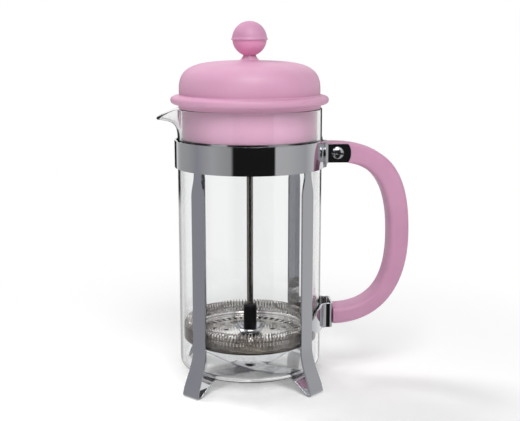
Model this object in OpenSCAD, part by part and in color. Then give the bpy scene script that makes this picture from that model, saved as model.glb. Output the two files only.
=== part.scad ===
// French press: a glass beaker held in a pressed steel frame, with a moulded lid, a D-shaped
// handle and a plunger pressed fully down. Millimetres, +Z up, origin at the centre of the base
// on the surface it stands on. The handle is on +X and the spout on -X.

/* [Beaker] */
// Outer radius of the glass
beaker_r = 48; // [47.5:0.1:48.2]
// Thickness of the glass wall
beaker_wall = 2.1; // [1.9:0.1:2.3]
// Height of the glass above its seat
beaker_h = 176.1; // [175.5:0.1:176.5]
// How far the tip of the spout reaches from the wall
spout_reach = 14.1; // [13:0.1:15]

/* [Frame] */
// Thickness of the pressed steel strip
strip_t = 1.2; // [1:0.1:1.3]
// Gap between the glass and the steel round it
glass_gap = 0.9; // [0.8:0.1:1]
// Height of the band round the beaker
band_h = 18.1; // [17:0.1:19]
// Height of the band's lower edge above the table
band_z = 147.2; // [146:0.1:148]
// Width of a leg
leg_w = 11.1; // [10:0.1:12]
// Width of a leg's neck, under the band
neck_w = 6.4; // [6:0.1:7]
// Width of the strap at the foot and under the glass
foot_w = 13.4; // [12.6:0.1:14]
// Radius from the axis to the tip of a foot
foot_reach = 58.9; // [57:0.1:59]
// Height of the seat that the glass stands on
seat_z = 9.9; // [9.7:0.1:10.1]

/* [Handle] */
// Depth of the handle, front to back
handle_depth = 20; // [19:0.5:20]
// Reach of the handle from the axis
handle_reach = 107.6; // [106:0.1:109]
// Top of the handle's upper arm
handle_top = 162.8; // [162.6:0.1:163.2]
// Thickness of the handle where it is gripped at the band
handle_upper_t = 12.5; // [12.2:0.1:13]
// Thickness of the handle at its lower end
handle_lower_t = 11.8; // [11.4:0.1:12]
// Thickness of the handle at the outside of the grip
handle_grip_t = 13.4; // [13:0.1:14]

/* [Lid] */
// Largest radius of the lid, at its rounded flange
lid_flange_r = 52.6; // [52.2:0.1:53]
// Radius of the lid's upright side
lid_side_r = 47.4; // [47:0.1:47.6]
// Depth of the collar that hangs inside the glass
lid_collar_h = 20; // [18:0.5:21]

/* [Plunger] */
// Radius of the plunger rod
rod_r = 2.15; // [2.1:0.01:2.2]
// Radial running clearance between the rod and the lid's hole
rod_clearance = 0.05; // [0.02:0.01:0.1]
// Radius of the round knob
knob_r = 11.4; // [10.5:0.1:11.8]
// Outer radius of the mesh filter
filter_r = 45.5; // [45.2:0.1:45.5]
// Height of the filter's lower edge when the plunger is fully down
filter_z = 29.6; // [29.4:0.1:30]
// Radial slots in the spiral plate
slot_count = 48; // [36:4:52]

/* [Hidden] */
$fn = 96;

big = 400;
frame_in = beaker_r + glass_gap;
frame_out = frame_in + strip_t;

// Ears: the ends of the band, bent outwards flat against the handle
ear_face = handle_depth / 2;
ear_in = ear_face - strip_t;
ear_h = 12.3;
ear_z = 156.2;
ear_reach = 66.8;
ear_end_r = 10.5;
bend_r = 4.2;
band_step_x = 50.4;
recess_gap = 0.1;

// Angle round the axis where a bend leaves the band, and the x where it ends in a flat cheek
bend_y = ear_face + bend_r;
bend_angle = asin(bend_y / (frame_out + bend_r));
bend_x = sqrt(pow(frame_out + bend_r, 2) - bend_y * bend_y);

// Clamp bolt through both ears and the handle
bolt_x = 57.8;
bolt_z = 156.4;
bolt_r = 2;
bolt_hole_r = 2.05;
head_r = 4.1;
head_h = 2.3;
nut_af_r = 4.05;
nut_t = 3;
bolt_end = ear_face + nut_t + 0.7;

// Straps
seat_r = 42;
flat_r = 9;
lower_strap_z = 3.9;
upper_strap_z = lower_strap_z + strip_t;
fold_r = 1.7;
foot_flat = 1.5;
rivet_r = 2;
rivet_head_t = 0.9;
shop_head_r = 7.2;
shop_head_t = 1.2;

// Lower bracket
bracket_z0 = 36.4;
bracket_z1 = 53.3;
clip_reach = 56.1;
clip_bend_r = 2.6;
rib_y = 30;
rib_foot_y = 23;
rib_z0 = 40.2;
rib_z1 = 47.4;
peg_r = 3;
peg_z = 44;

// Handle
handle_start_x = 51.6;
handle_lower_x = clip_reach + 0.3;
handle_low = 38.1;
grip_z = 99.8;

// Glass
glass_floor = 2.5;
glass_corner_r = 6;
beaker_top = seat_z + beaker_h;
beaker_in = beaker_r - beaker_wall;
spout_tip_r = 3;

// Lid
lid_t = 2;
lid_seat_r = 47.2;
neck_top_z = 220.1;
neck_top_r = 4.3;
neck_base_r = 6.2;
collar_r = 44.8;
collar_z = beaker_top - lid_collar_h;

// Plunger stack
mesh_t = 0.4;
plate_t = 0.8;
spiral_z = filter_z + mesh_t + 0.2;
spiral_top = spiral_z + plate_t;
wall_r = 41.6;
wall_top = 38;
coil_r = 2.9;
coil_z = 38.9;
coil_wall = 0.35;
coil_mid_r = wall_r + plate_t / 2;
socket_r = 4.6;
socket_top = 51.7;
washer_r = 10.5;
washer_h = 4.6;
knob_z = 231.0;
knob_split = 230.3;
knob_flange_r = 12.2;
rod_bottom = filter_z - 5;
insert_r = 3.6;
insert_z = neck_top_z + 2;
insert_top = knob_split + 3;
lower_shell_r = knob_r - 0.1;
neck_foot_r = 4.4;

// Foot of the filter, under the mesh
foot_top = filter_z - 0.1;
cross_plate_r = 41.5;
cross_plate_t = 1;
cross_hole_r = 4.2;
hub_r = 4.6;
hub_h = 5;
hub_flange_r = 5.5;

function arc(x, y, r, a0, a1, n) =
    [for (i = [0:n]) let (a = a0 + (a1 - a0) * i / n) [x + r * cos(a), y + r * sin(a)]];

function bezier(a, b, c, d, n) =
    [for (i = [0:n]) let (t = i / n, s = 1 - t)
        s * s * s * a + 3 * s * s * t * b + 3 * s * t * t * c + t * t * t * d];

function unit(v) = v / norm(v);

// Direction of a path at its point i
function heading(p, i) =
    unit(unit(p[min(i + 1, len(p) - 1)] - p[min(i, len(p) - 2)])
         + unit(p[max(i, 1)] - p[max(i - 1, 0)]));

// A strip of thickness t, on the left of a path
function strip(p, t) =
    concat(p, [for (k = [len(p) - 1:-1:0]) let (h = heading(p, k)) p[k] + t * [-h[1], h[0]]]);

module upright() {
    rotate([90, 0, 0]) children();
}

// A slab centred on y = 0, with its outline drawn in x and z
module slab(depth) {
    translate([0, depth / 2, 0]) upright() linear_extrude(depth) children();
}

// Half of a strap's side outline: down the leg, round the foot and in under the glass
function half_strap(centre_z) = concat(
    [[frame_out, band_z]],
    bezier([frame_out, 31], [frame_out, 19], [foot_reach - 1.6, 9.5], [foot_reach, fold_r], 8),
    arc(foot_reach - fold_r, fold_r, fold_r, -20, -90, 4),
    arc(foot_reach - fold_r - foot_flat, fold_r, fold_r, -90, -120, 2),
    [[seat_r, seat_z - strip_t], [flat_r, centre_z], [0, centre_z]]);

// Front outline of a leg: narrow neck, rounded shoulders, wider foot
function half_leg_front() = concat(
    [[neck_w / 2, band_z]],
    bezier([neck_w / 2, band_z - 1.5], [neck_w / 2 + 0.2, band_z - 7],
           [leg_w / 2, band_z - 7], [leg_w / 2, band_z - 15], 6),
    bezier([leg_w / 2, 36], [leg_w / 2, 22], [foot_w / 2, 14], [foot_w / 2, 6], 5),
    [[foot_w / 2, -1]]);

module strap(centre_z) {
    side = strip(half_strap(centre_z), -strip_t);
    front = half_leg_front();
    intersection() {
        union() {
            slab(foot_w + 2) polygon(side);
            mirror([1, 0, 0]) slab(foot_w + 2) polygon(side);
        }
        rotate([0, 0, 90]) slab(3 * foot_reach)
            polygon(concat(front, [for (k = [len(front) - 1:-1:0]) [-front[k][0], front[k][1]]]));
    }
}

module rivet_hole() {
    translate([0, 0, -1]) cylinder(r = rivet_r, h = 2 * seat_z);
}

module lower_cross_strap() {
    color("silver") difference() {
        rotate([0, 0, 45]) strap(lower_strap_z);
        rivet_hole();
    }
}

module upper_cross_strap() {
    color("silver") difference() {
        rotate([0, 0, -45]) strap(upper_strap_z);
        rivet_hole();
    }
}

// Round-headed rivet through the crossing, with a wide shop head underneath
module cross_rivet() {
    head_z = upper_strap_z + strip_t;
    color("gray") union() {
        translate([0, 0, lower_strap_z - shop_head_t])
            cylinder(r1 = shop_head_r - 0.6, r2 = shop_head_r, h = shop_head_t);
        translate([0, 0, lower_strap_z - shop_head_t / 2])
            cylinder(r = rivet_r, h = head_z - lower_strap_z + shop_head_t);
        translate([0, 0, head_z]) cylinder(r1 = 3.6, r2 = 2.6, h = rivet_head_t);
    }
}

// Outer line of a strip that follows the band from a flat cheek on +Y round to angle a1
function cheek_to_ring(a1, n) = concat(
    arc(bend_x, bend_y, bend_r, 270, 180 + bend_angle, 6),
    arc(0, 0, frame_out, bend_angle + 2, a1, n));

function mirrored_back(p) = [for (k = [len(p) - 1:-1:0]) [p[k][0], -p[k][1]]];

module bolt_bore(r) {
    translate([bolt_x, big / 2, bolt_z]) upright() cylinder(r = r, h = big);
}

// Band round the beaker, its two ends bent outwards into ears that hold the handle
module frame_band() {
    half = concat([[ear_reach, ear_face]], cheek_to_ring(178, 48));
    z0 = ear_z - ear_h / 2;
    z1 = ear_z + ear_h / 2;
    rise = asin(ear_h / 2 / ear_end_r);
    color("silver") difference() {
        intersection() {
            translate([0, 0, band_z - 1]) linear_extrude(band_h + 2)
                polygon(strip(concat(half, mirrored_back(half)), strip_t));
            slab(big) polygon(concat(
                [[-big, band_z], [band_step_x, band_z], [band_step_x, z0]],
                arc(ear_reach - ear_end_r, ear_z, ear_end_r, -rise, rise, 10),
                [[band_step_x, z1], [band_step_x, band_z + band_h], [-big, band_z + band_h]]));
        }
        bolt_bore(bolt_hole_r);
    }
}

// One steel strip from leg to leg, with a closed loop in it that the foot of the handle bears on
module lower_bracket() {
    corner_x = clip_reach - clip_bend_r;
    half = concat(arc(corner_x, ear_face - clip_bend_r, clip_bend_r, 0, 90, 6), cheek_to_ring(44, 12));
    color("silver") difference() {
        intersection() {
            translate([0, 0, bracket_z0 - 1]) linear_extrude(bracket_z1 - bracket_z0 + 2)
                polygon(strip(concat(mirrored_back(half), half), strip_t));
            rotate([0, 0, 90]) slab(big) polygon([
                [-rib_y - 9, rib_z0 + 0.6], [-rib_y, rib_z0], [-rib_foot_y, bracket_z0],
                [rib_foot_y, bracket_z0], [rib_y, rib_z0], [rib_y + 9, rib_z0 + 0.6],
                [rib_y + 9, rib_z1 - 0.4], [rib_y, rib_z1], [rib_foot_y, bracket_z1 - 0.9],
                [ear_face + 4, bracket_z1], [-ear_face - 4, bracket_z1],
                [-rib_foot_y, bracket_z1 - 0.9], [-rib_y, rib_z1], [-rib_y - 9, rib_z1 - 0.4]]);
        }
        for (turn = [-45, 45]) rotate([0, 0, turn])
            translate([0, -leg_w / 2, 0]) cube([big, leg_w, big]);
        translate([0, 0, peg_z]) rotate([0, 90, 0]) cylinder(r = peg_r + 0.1, h = big);
    }
}

// Side outline of the handle: outer curve down, inner curve back up
function handle_outline() = let (
        x0 = handle_start_x,
        x1 = handle_lower_x,
        inner_reach = handle_reach - handle_grip_t,
        inner_top = handle_top - handle_upper_t,
        inner_low = handle_low + handle_lower_t)
    concat(
        [[x0, handle_top]],
        bezier([56, handle_top], [96.5, handle_top], [handle_reach, 139.7],
               [handle_reach, grip_z], 20),
        bezier([handle_reach, grip_z], [handle_reach, 59.2], [86.4, handle_low],
               [x1, handle_low], 20),
        bezier([x1, inner_low], [85.8, inner_low], [inner_reach, 69.2], [inner_reach, 97.7], 20),
        bezier([inner_reach, 97.7], [inner_reach, 129.7], [86.1, inner_top], [56, inner_top], 20),
        [[x0, inner_top]]);

// Handle, with a moulded peg at its foot that plugs into the lower bracket
module handle() {
    recess_y = [ear_in, -ear_face - 1];
    color("plum") difference() {
        union() {
            slab(handle_depth) polygon(handle_outline());
            translate([clip_reach - 4, 0, peg_z]) rotate([0, 90, 0]) cylinder(r = peg_r, h = 6);
        }
        for (y0 = recess_y) {
            translate([0, y0, ear_z - ear_h / 2 - 1.5]) cube([bend_x + 0.5, strip_t + 1, ear_h + 9]);
            intersection() {
                translate([0, y0, ear_z - ear_h / 2 - recess_gap])
                    cube([ear_reach + recess_gap, strip_t + 1, ear_h + 2 * recess_gap]);
                translate([ear_reach - ear_end_r, big / 2, ear_z]) upright()
                    cylinder(r = ear_end_r + recess_gap, h = big);
            }
        }
        bolt_bore(bolt_hole_r);
    }
}

// Round-headed bolt with a screwdriver slot
module clamp_bolt() {
    dome_r = (head_r * head_r + head_h * head_h) / (2 * head_h);
    color("silver") difference() {
        union() {
            intersection() {
                translate([bolt_x, -ear_face - head_h + dome_r, bolt_z]) sphere(r = dome_r);
                translate([bolt_x, -ear_face, bolt_z]) upright() cylinder(r = head_r, h = head_h + 1);
            }
            translate([bolt_x, bolt_end, bolt_z]) upright() cylinder(r = bolt_r, h = bolt_end + ear_face);
        }
        translate([bolt_x, -ear_face - head_h, bolt_z]) rotate([0, 8, 0])
            cube([3 * head_r, 2.2, 1.1], center = true);
    }
}

module clamp_nut() {
    color("silver") difference() {
        translate([bolt_x, ear_face + nut_t, bolt_z]) upright() cylinder(r = nut_af_r, h = nut_t, $fn = 6);
        bolt_bore(bolt_hole_r);
    }
}

// Cone of the pouring spout, pointing out and a little down along -X
module spout_cone(inset) {
    length = spout_reach + 3;
    translate([-beaker_r - spout_reach, 0, beaker_top - 6.6]) rotate([0, 90 - 12, 0])
        translate([0, 0, -0.2 + 2 * inset])
            cylinder(r1 = spout_tip_r, r2 = spout_tip_r + (length + 4) * 0.66, h = length + 4);
}

module beaker() {
    color("lightcyan") difference() {
        union() {
            rotate_extrude() polygon(concat(
                [[0, seat_z]],
                arc(beaker_r - glass_corner_r, seat_z + glass_corner_r, glass_corner_r, -90, 0, 8),
                arc(beaker_r - beaker_wall / 2, beaker_top - beaker_wall / 2, beaker_wall / 2, 0, 180, 6),
                arc(beaker_in - 4, seat_z + glass_floor + 4, 4, 0, -90, 6),
                [[0, seat_z + glass_floor]]));
            intersection() {
                spout_cone(0);
                translate([-beaker_r - spout_reach - 1, -beaker_r, beaker_top - 20])
                    cube([spout_reach + 8, 2 * beaker_r, 20 - 0.3]);
                translate([-beaker_r - spout_reach + 0.4, 0, beaker_top - 8.7]) rotate([0, -33, 0])
                    translate([-big / 2, -big / 2, -big]) cube([big, big, big]);
            }
        }
        intersection() {
            spout_cone(1.75);
            translate([-beaker_r - spout_reach - 1, -beaker_r, beaker_top - 20])
                cube([spout_reach + 8, 2 * beaker_r, 30]);
        }
        translate([0, 0, beaker_top - 25]) cylinder(r = beaker_in, h = 40);
    }
}

function lid_outline() = concat(
    [[rod_r + rod_clearance, neck_top_z], [neck_top_r, neck_top_z], [neck_base_r, 217.4],
     [neck_base_r, 216.9]],
    bezier([neck_base_r, 216.9], [22, 216.8], [36, 214.8], [40.6, 211.4], 8),
    bezier([40.6, 211.4], [44.8, 208.4], [lid_side_r, 204], [lid_side_r, 198], 7),
    [[lid_side_r - 0.1, 196], [lid_side_r - 0.9, 195]],
    bezier([lid_side_r - 0.9, 194.4], [50.2, 194.4], [lid_flange_r, 194.2], [lid_flange_r, 191.8], 6),
    bezier([lid_flange_r, 191.8], [lid_flange_r, 189.9], [51.2, 189], [49.2, 188.6], 6),
    [[lid_seat_r, 188.4], [lid_seat_r, beaker_top], [collar_r, beaker_top],
     [collar_r, collar_z], [collar_r - lid_t, collar_z],
     [collar_r - lid_t, 200]],
    bezier([collar_r - lid_t, 200], [collar_r - lid_t, 206], [38, 213], [26, 213.4], 6),
    [[rod_r + 3, 214.2], [rod_r + rod_clearance, 214.2]]);

module lid() {
    color("plum") rotate_extrude() polygon(lid_outline());
}

module knob_upper_shell() {
    lip = knob_flange_r - knob_r;
    color("plum") rotate_extrude() polygon(concat(
        arc(0, knob_z, knob_r - lid_t, 90, 0, 10),
        [[knob_r - lid_t, knob_split], [knob_flange_r, knob_split], [knob_flange_r, knob_split + 0.35],
         [knob_r + lip * 0.3, knob_split + 1.5]],
        arc(0, knob_z, knob_r, 4, 90, 16)));
}

module knob_lower_shell() {
    boss_r = insert_r + 1.6;
    outside = arc(0, knob_z, lower_shell_r, -acos(neck_foot_r / lower_shell_r),
                  -asin((knob_z - knob_split) / lower_shell_r), 14);
    color("orchid") rotate_extrude() polygon(concat(
        [[rod_r, neck_top_z], [neck_foot_r, neck_top_z]],
        [for (p = outside) if (p[1] > neck_top_z) p],
        [[knob_r - lid_t, knob_split]],
        arc(0, knob_z, knob_r - lid_t, -9, -56, 8),
        [[boss_r, knob_split - 3], [boss_r, insert_top], [insert_r, insert_top],
         [insert_r, insert_z], [rod_r, insert_z]]));
}

module knob_insert() {
    color("goldenrod") translate([0, 0, insert_z]) difference() {
        cylinder(r = insert_r, h = insert_top - insert_z);
        translate([0, 0, -1]) cylinder(r = rod_r, h = 30);
    }
}

module plunger_rod() {
    color("silver") translate([0, 0, rod_bottom])
        cylinder(r = rod_r, h = insert_top - 1 - rod_bottom);
}

module socket_washer() {
    color("silver") rotate_extrude() polygon([
        [rod_r, spiral_top], [6.2, spiral_top], [washer_r, spiral_top + washer_h],
        [washer_r - 0.5, spiral_top + washer_h + 0.5], [6, spiral_top + 0.8], [rod_r, spiral_top + 0.8]]);
}

module rod_socket() {
    z0 = spiral_top + 0.8;
    color("dimgray") rotate_extrude() polygon([
        [rod_r, z0], [socket_r, z0], [socket_r, socket_top - 3], [socket_r - 0.6, socket_top - 0.6],
        [socket_r - 1.2, socket_top], [rod_r, socket_top]]);
}

module plate_hole(radius, angle) {
    rotate([0, 0, angle]) translate([radius, 0, spiral_z - 1]) children();
}

// Top plate of the filter: a slotted disc with an upturned wall that holds the coil
module spiral_plate() {
    bead = 1.6;
    color("lightgray") difference() {
        rotate_extrude() polygon(concat(
            [[rod_r, spiral_z]],
            arc(wall_r + plate_t - bead, spiral_z + bead, bead, -90, 0, 4),
            [[wall_r + plate_t, wall_top], [wall_r, wall_top]],
            arc(wall_r + plate_t - bead, spiral_z + bead, bead - plate_t, 0, -90, 4),
            [[rod_r, spiral_top]]));
        for (k = [0:slot_count - 1]) plate_hole(35, 360 / slot_count * k)
            translate([-2.6, -0.8, 0]) cube([5.2, 1.6, 3]);
        for (k = [0:15]) plate_hole(26.5, 22.5 * k)
            translate([-0.8, -2.4, 0]) cube([1.6, 4.8, 3]);
        for (k = [0:7]) plate_hole(17.5, 45 * k + 22.5) cylinder(r = 1.8, h = 3);
    }
}

// Closed tube in the outer shape of the wound coil, slotted where it is threaded on the wall
module coil_spring() {
    slot_gap = 0.1;
    color("gray") difference() {
        rotate_extrude() translate([coil_mid_r, coil_z]) difference() {
            circle(r = coil_r, $fn = 24);
            circle(r = coil_r - coil_wall, $fn = 24);
        }
        translate([0, 0, spiral_z]) difference() {
            cylinder(r = wall_r + plate_t + slot_gap, h = coil_z - spiral_z);
            translate([0, 0, -1]) cylinder(r = wall_r - slot_gap, h = 20);
        }
    }
}

// Fine mesh disc under the spiral plate, its rim curled up round the coil
module filter_mesh() {
    roll = 2.4;
    rim_r = filter_r - 0.1;
    color("rosybrown") rotate_extrude() polygon(concat(
        [[rod_r, filter_z]],
        arc(rim_r - roll, filter_z + roll, roll, -90, 0, 6),
        [[filter_r, 35.5], [filter_r, 40.6], [filter_r - mesh_t, 40.6], [filter_r - mesh_t, 35.5]],
        arc(rim_r - roll, filter_z + roll, roll - mesh_t, 0, -90, 6),
        [[rod_r, filter_z + mesh_t]]));
}

// Bottom plate of the filter, pierced with rings of holes
module cross_plate() {
    color("lightgray") difference() {
        translate([0, 0, foot_top - cross_plate_t]) cylinder(r = cross_plate_r, h = cross_plate_t);
        translate([0, 0, filter_z - 2]) cylinder(r = hub_flange_r, h = 3);
        for (k = [0:11]) rotate([0, 0, 30 * k]) translate([33, 0, filter_z - 2])
            cylinder(r = cross_hole_r, h = 3);
        for (k = [0:7]) rotate([0, 0, 45 * k]) translate([19.5, 0, filter_z - 2])
            cylinder(r = cross_hole_r, h = 3);
    }
}

// Threaded hub swaged into the cross plate, which the end of the rod screws into
module hub_nut() {
    color("silver") difference() {
        union() {
            translate([0, 0, foot_top - hub_h]) cylinder(r = hub_r, h = hub_h);
            translate([0, 0, foot_top - cross_plate_t]) cylinder(r = hub_flange_r, h = cross_plate_t);
        }
        translate([0, 0, filter_z - hub_h - 1]) cylinder(r = rod_r + rod_clearance, h = hub_h + 3);
    }
}

frame_band();
lower_cross_strap();
upper_cross_strap();
cross_rivet();
lower_bracket();
handle();
clamp_bolt();
clamp_nut();
beaker();
lid();
knob_upper_shell();
knob_lower_shell();
knob_insert();
plunger_rod();
rod_socket();
socket_washer();
spiral_plate();
coil_spring();
filter_mesh();
cross_plate();
hub_nut();
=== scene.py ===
"""Looks of a french press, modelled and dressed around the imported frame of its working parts.

Lengths in this file are millimetres, and the Bench turns them into the frame's metres. Heights and
radii that another part depends on are read from the frame; the rest are the sizes of the detail.
"""

import logging  # noqa: E402
import math  # noqa: E402
from collections.abc import Callable, Iterator, Sequence  # noqa: E402
from contextlib import contextmanager  # noqa: E402
from dataclasses import dataclass, field  # noqa: E402
from enum import Enum  # noqa: E402

import bmesh  # noqa: E402
import bpy  # noqa: E402
from mathutils import Matrix, Vector  # noqa: E402


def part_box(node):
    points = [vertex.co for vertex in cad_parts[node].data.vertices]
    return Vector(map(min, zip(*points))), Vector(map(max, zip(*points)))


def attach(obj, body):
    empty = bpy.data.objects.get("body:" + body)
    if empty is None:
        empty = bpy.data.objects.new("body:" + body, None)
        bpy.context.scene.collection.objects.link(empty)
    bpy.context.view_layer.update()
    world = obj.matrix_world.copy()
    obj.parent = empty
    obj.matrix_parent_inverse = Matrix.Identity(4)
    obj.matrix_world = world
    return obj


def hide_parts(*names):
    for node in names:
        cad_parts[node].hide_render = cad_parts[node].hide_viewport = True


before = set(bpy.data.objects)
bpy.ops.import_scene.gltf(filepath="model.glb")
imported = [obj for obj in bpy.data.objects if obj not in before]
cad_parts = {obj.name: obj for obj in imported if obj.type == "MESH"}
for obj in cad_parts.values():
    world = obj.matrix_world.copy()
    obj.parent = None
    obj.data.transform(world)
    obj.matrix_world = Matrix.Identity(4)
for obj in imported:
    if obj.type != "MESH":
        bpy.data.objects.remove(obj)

MM = 0.001
WELD = 0.002
BOLT_BORE_R = 2.05
LOG = logging.getLogger("press")

Pair = tuple[float, float]
Point = tuple[float, float, float]
Object = bpy.types.Object
Material = bpy.types.Material


class Body(Enum):
    """Bodies of the frame that a piece can move with."""

    FRAME = "frame"
    BEAKER = "beaker"
    LID = "lid"
    PLUNGER = "plunger"
    FILTER_FOOT = "filter_foot"


# ---------------------------------------------------------------------------------------------
# Outlines
# ---------------------------------------------------------------------------------------------


def arc(centre: Pair, radius: float, start: float, end: float, steps: int) -> list[Pair]:
    """Points along a circular arc.

    Args:
        centre: centre of the arc.
        radius: its radius.
        start: angle of the first point, in degrees.
        end: angle of the last point, in degrees.
        steps: number of chords.

    Returns:
        steps + 1 points.
    """
    turn = [math.radians(start + (end - start) * i / steps) for i in range(steps + 1)]
    return [(centre[0] + radius * math.cos(a), centre[1] + radius * math.sin(a)) for a in turn]


def bezier(a: Pair, b: Pair, c: Pair, d: Pair, steps: int) -> list[Pair]:
    """Points along a cubic curve.

    Args:
        a: first point.
        b: its handle.
        c: the last point's handle.
        d: last point.
        steps: number of chords.

    Returns:
        steps + 1 points.
    """
    return [on_curve((a, b, c, d), i / steps) for i in range(steps + 1)]


def on_curve(points: Sequence[Pair], t: float) -> Pair:
    """One point of a cubic curve.

    Args:
        points: its first point, the two handles and its last point.
        t: place along it, from 0 to 1.

    Returns:
        The point.
    """
    s = 1 - t
    weights = (s**3, 3 * s * s * t, 3 * s * t * t, t**3)
    return tuple(sum(w * p[k] for w, p in zip(weights, points)) for k in (0, 1))


def straight(a: Pair, b: Pair, steps: int) -> list[Pair]:
    """steps + 1 points along a straight line from a to b."""
    return [(a[0] + (b[0] - a[0]) * i / steps, a[1] + (b[1] - a[1]) * i / steps)
            for i in range(steps + 1)]


def level(x: float, table: list[Pair]) -> float:
    """Value at x of a line through the points of a table, which is flat beyond its ends.

    Args:
        x: where the line is read.
        table: points of the line, from its lowest x to its highest.

    Returns:
        The line's value there.
    """
    if x <= table[0][0]:
        return table[0][1]
    for (x0, y0), (x1, y1) in zip(table, table[1:]):
        if x <= x1:
            return y0 + (y1 - y0) * (x - x0) / (x1 - x0)
    return table[-1][1]


def ease(t: float) -> float:
    """Smooth step from 0 to 1."""
    t = min(1.0, max(0.0, t))
    return t * t * (3 - 2 * t)


def off_beat(turn: float, step: float) -> float:
    """Angle between a turn and the nearest multiple of a step."""
    return abs((turn + step / 2) % step - step / 2)


# ---------------------------------------------------------------------------------------------
# Modelling bench
# ---------------------------------------------------------------------------------------------


@dataclass(frozen=True)
class Extent:
    """Lowest and highest corner of a node of the frame, in millimetres."""

    low: Vector
    high: Vector

    @classmethod
    def of(cls, node: str) -> "Extent":
        """Extent of a node of the frame."""
        low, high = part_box(node)
        return cls(low / MM, high / MM)

    def middle(self, axis: str) -> float:
        """Middle of the extent along x, y or z."""
        return (getattr(self.low, axis) + getattr(self.high, axis)) / 2


@contextmanager
def editing(piece: Object, select: str = "SELECT") -> Iterator[bmesh.types.BMesh]:
    """Edit mode on one piece, with everything or nothing selected.

    Args:
        piece: the piece to edit.
        select: SELECT or DESELECT, for all of its vertices.

    Yields:
        The piece's edit mesh.
    """
    Bench.pick(piece)
    bpy.ops.object.mode_set(mode="EDIT")
    bpy.ops.mesh.select_mode(type="VERT")
    bpy.ops.mesh.select_all(action=select)
    mesh = bmesh.from_edit_mesh(piece.data)
    yield mesh
    bmesh.update_edit_mesh(piece.data)
    bpy.ops.object.mode_set(mode="OBJECT")


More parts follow.
